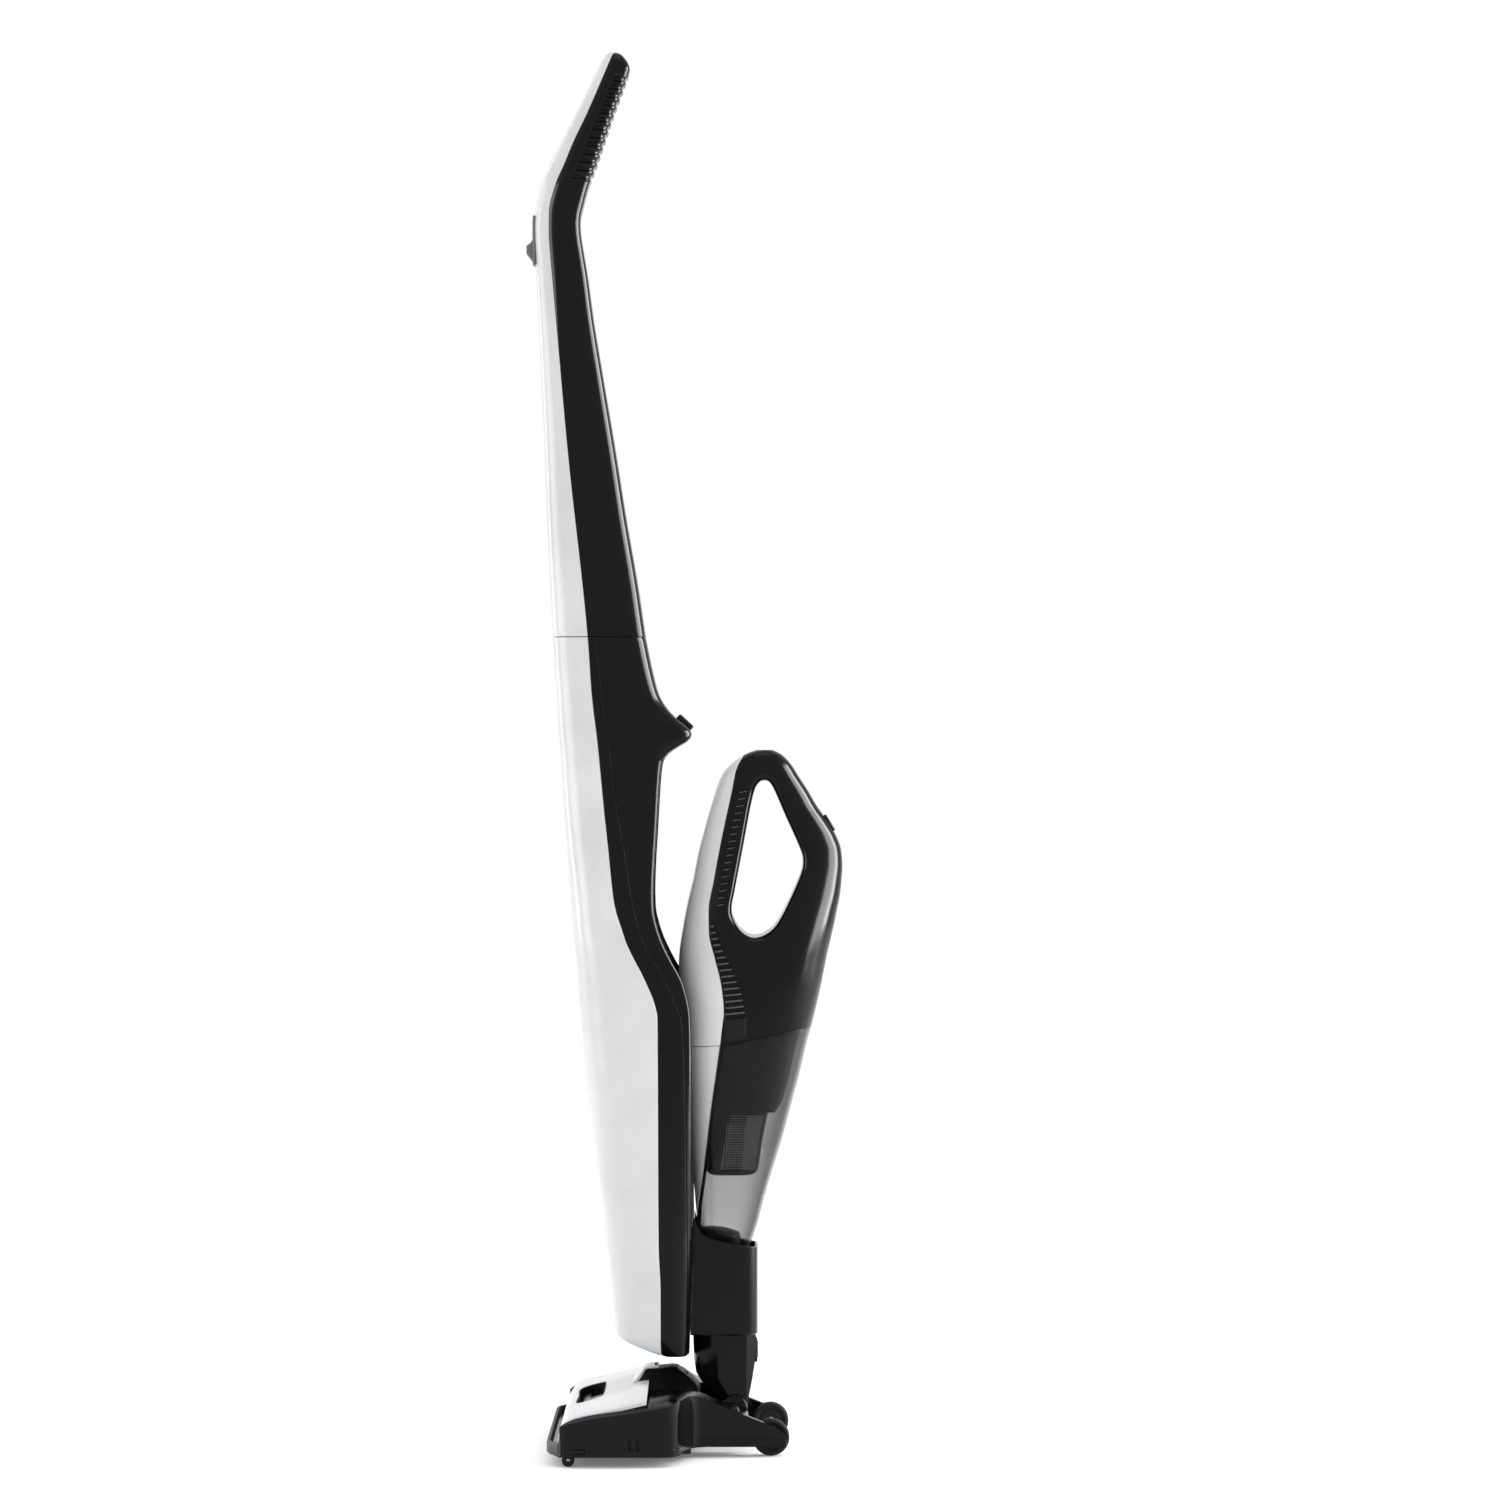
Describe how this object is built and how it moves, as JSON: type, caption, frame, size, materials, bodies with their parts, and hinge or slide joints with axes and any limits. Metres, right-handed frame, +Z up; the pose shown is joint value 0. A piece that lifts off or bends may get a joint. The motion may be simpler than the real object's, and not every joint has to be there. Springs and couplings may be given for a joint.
{
  "type": "cordless stick vacuum",
  "caption": "Upright two-in-one cordless vacuum: bent handle, slim body with a docked hand vacuum, clear dust bin, and a wide wheeled floor head on a tilting neck.",
  "frame": {"origin": "middle of the bounding box, on the floor under the floor head", "axes": "+Z up, -X towards the front of the floor head, +X towards the user, +Y to the side"},
  "size_m": [0.2527, 0.245, 1.114],
  "materials": {
    "gloss_white": "glossy white moulded plastic",
    "gloss_black": "glossy black moulded plastic",
    "matte_black": "fine-textured black plastic",
    "grey_plastic": "satin grey plastic",
    "rubber": "soft black rubber",
    "smoke_clear": "smoky transparent plastic",
    "steel": "turned steel",
    "motor_can": "metal motor can",
    "circuit_board": "green circuit board",
    "battery_wrap": "blue shrink wrap",
    "bristle": "dense nylon bristle",
    "filter_paper": "pleated filter paper",
    "filter_mesh": "grey plastic with fine mesh"
  },
  "bodies": {
    "floor_head": {"head_base": "gloss_black", "head_cover": "gloss_white", "brush_window": "smoke_clear", "duct_cover": "gloss_black", "front_bumper": "rubber", "sole_plate": "matte_black", "brush_motor": "motor_can", "suction_duct": "matte_black", "drive_belt": "rubber", "hinge_pin_left": "steel", "hinge_pin_right": "steel", "wheel_axle_left": "steel", "wheel_axle_right": "steel", "brush_bearing_left": "steel", "brush_bearing_right": "steel"},
    "brush_roll": {"brush_core": "grey_plastic", "brush_shaft": "steel", "bristle_strip_a": "bristle", "bristle_strip_b": "bristle", "brush_pulley": "grey_plastic"},
    "motor_shaft": {"motor_pulley": "steel"},
    "wheel_left": {"rear_wheel_left": "rubber"},
    "wheel_right": {"rear_wheel_right": "rubber"},
    "castor_left": {"front_castor_left": "matte_black"},
    "castor_right": {"front_castor_right": "matte_black"},
    "neck": {"neck_yoke": "gloss_black"},
    "neck_latch": {"head_latch": "matte_black"},
    "stick": {"body_front_shell": "gloss_white", "body_rear_shell": "gloss_black", "cradle_cup": "gloss_black", "battery_pack": "battery_wrap", "control_board": "circuit_board", "wire_loom": "rubber", "joint_sleeve": "matte_black", "handle_screw": "steel", "handle_front_shell": "gloss_white", "handle_rear_shell": "gloss_black", "switch_bezel": "grey_plastic", "switch_board": "circuit_board"},
    "nose_button": {"release_button": "matte_black"},
    "thumb_switch": {"slide_switch": "grey_plastic"},
    "seal": {"nozzle_seal": "rubber"},
    "dust_bin": {"bin_shell": "smoke_clear", "bin_front": "gloss_white", "bin_nozzle": "gloss_black", "filter_holder": "matte_black", "filter_frame": "filter_mesh", "filter_element": "filter_paper"},
    "hand_unit": {"hand_front_shell": "gloss_white", "hand_rear_shell": "gloss_black", "suction_motor": "motor_can", "hand_battery": "battery_wrap", "hand_board": "circuit_board", "motor_gasket": "rubber"},
    "fan": {"impeller": "grey_plastic"},
    "hand_power": {"power_button": "grey_plastic"},
    "bin_latch": {"bin_release_button": "grey_plastic"}
  },
  "joints": [
    {"name": "brush_spin", "type": "hinge", "parent": "floor_head", "child": "brush_roll", "pos_m": [-0.067, 0, 0.0215], "axis": [0, 1, 0], "continuous": true},
    {"name": "motor_spin", "type": "hinge", "parent": "floor_head", "child": "motor_shaft", "pos_m": [-0.022, 0, 0.026], "axis": [0, 1, 0], "continuous": true},
    {"name": "wheel_left_roll", "type": "hinge", "parent": "floor_head", "child": "wheel_left", "pos_m": [0.069, 0.04955, 0.0145], "axis": [0, 1, 0], "continuous": true},
    {"name": "wheel_right_roll", "type": "hinge", "parent": "floor_head", "child": "wheel_right", "pos_m": [0.069, -0.04955, 0.0145], "axis": [0, 1, 0], "continuous": true},
    {"name": "castor_left_roll", "type": "hinge", "parent": "floor_head", "child": "castor_left", "pos_m": [-0.089, 0.113, 0.005], "axis": [0, 1, 0], "continuous": true},
    {"name": "castor_right_roll", "type": "hinge", "parent": "floor_head", "child": "castor_right", "pos_m": [-0.089, -0.113, 0.005], "axis": [0, 1, 0], "continuous": true},
    {"name": "head_tilt", "type": "hinge", "parent": "floor_head", "child": "neck", "pos_m": [0.04, 0, 0.034], "axis": [0, 1, 0], "range_deg": [0, 70]},
    {"name": "neck_swivel", "type": "hinge", "parent": "neck", "child": "stick", "pos_m": [0.031, 0, 0.092], "axis": [0, 0, 1], "range_deg": [-45, 45]},
    {"name": "neck_latch_press", "type": "slide", "parent": "neck", "child": "neck_latch", "axis": [-1, 0, 0], "range_m": [0, 0.001], "stiffness_N_per_m": 600},
    {"name": "nose_button_press", "type": "slide", "parent": "stick", "child": "nose_button", "axis": [-0.6805, 0, -0.7328], "range_m": [0, 0.003], "stiffness_N_per_m": 600},
    {"name": "thumb_switch_slide", "type": "slide", "parent": "stick", "child": "thumb_switch", "axis": [0, 0, 1], "range_m": [0, 0.012]},
    {"name": "hand_tilt", "type": "hinge", "parent": "stick", "child": "seal", "pos_m": [0.03, 0, 0.146], "axis": [0, 1, 0], "range_deg": [-9, 0]},
    {"name": "hand_lift", "type": "slide", "parent": "seal", "child": "dust_bin", "axis": [0.1219, 0, 0.9925], "range_m": [0, 0.32]},
    {"name": "bin_part", "type": "slide", "parent": "dust_bin", "child": "hand_unit", "axis": [0.1219, 0, 0.9925], "range_m": [0, 0.12]},
    {"name": "fan_spin", "type": "hinge", "parent": "hand_unit", "child": "fan", "pos_m": [0.05425, 0, 0.34352], "axis": [0.1219, 0, 0.9925], "continuous": true},
    {"name": "power_press", "type": "slide", "parent": "hand_unit", "child": "hand_power", "axis": [-0.9135, 0, -0.4067], "range_m": [0, 0.0015], "stiffness_N_per_m": 600},
    {"name": "bin_latch_press", "type": "slide", "parent": "hand_unit", "child": "bin_latch", "axis": [0.9986, 0, 0.0523], "range_m": [0, 0.0015], "stiffness_N_per_m": 600}
  ],
  "couplings": [
    {"joint": "motor_spin", "follows": "brush_spin", "ratio": 2}
  ]
}
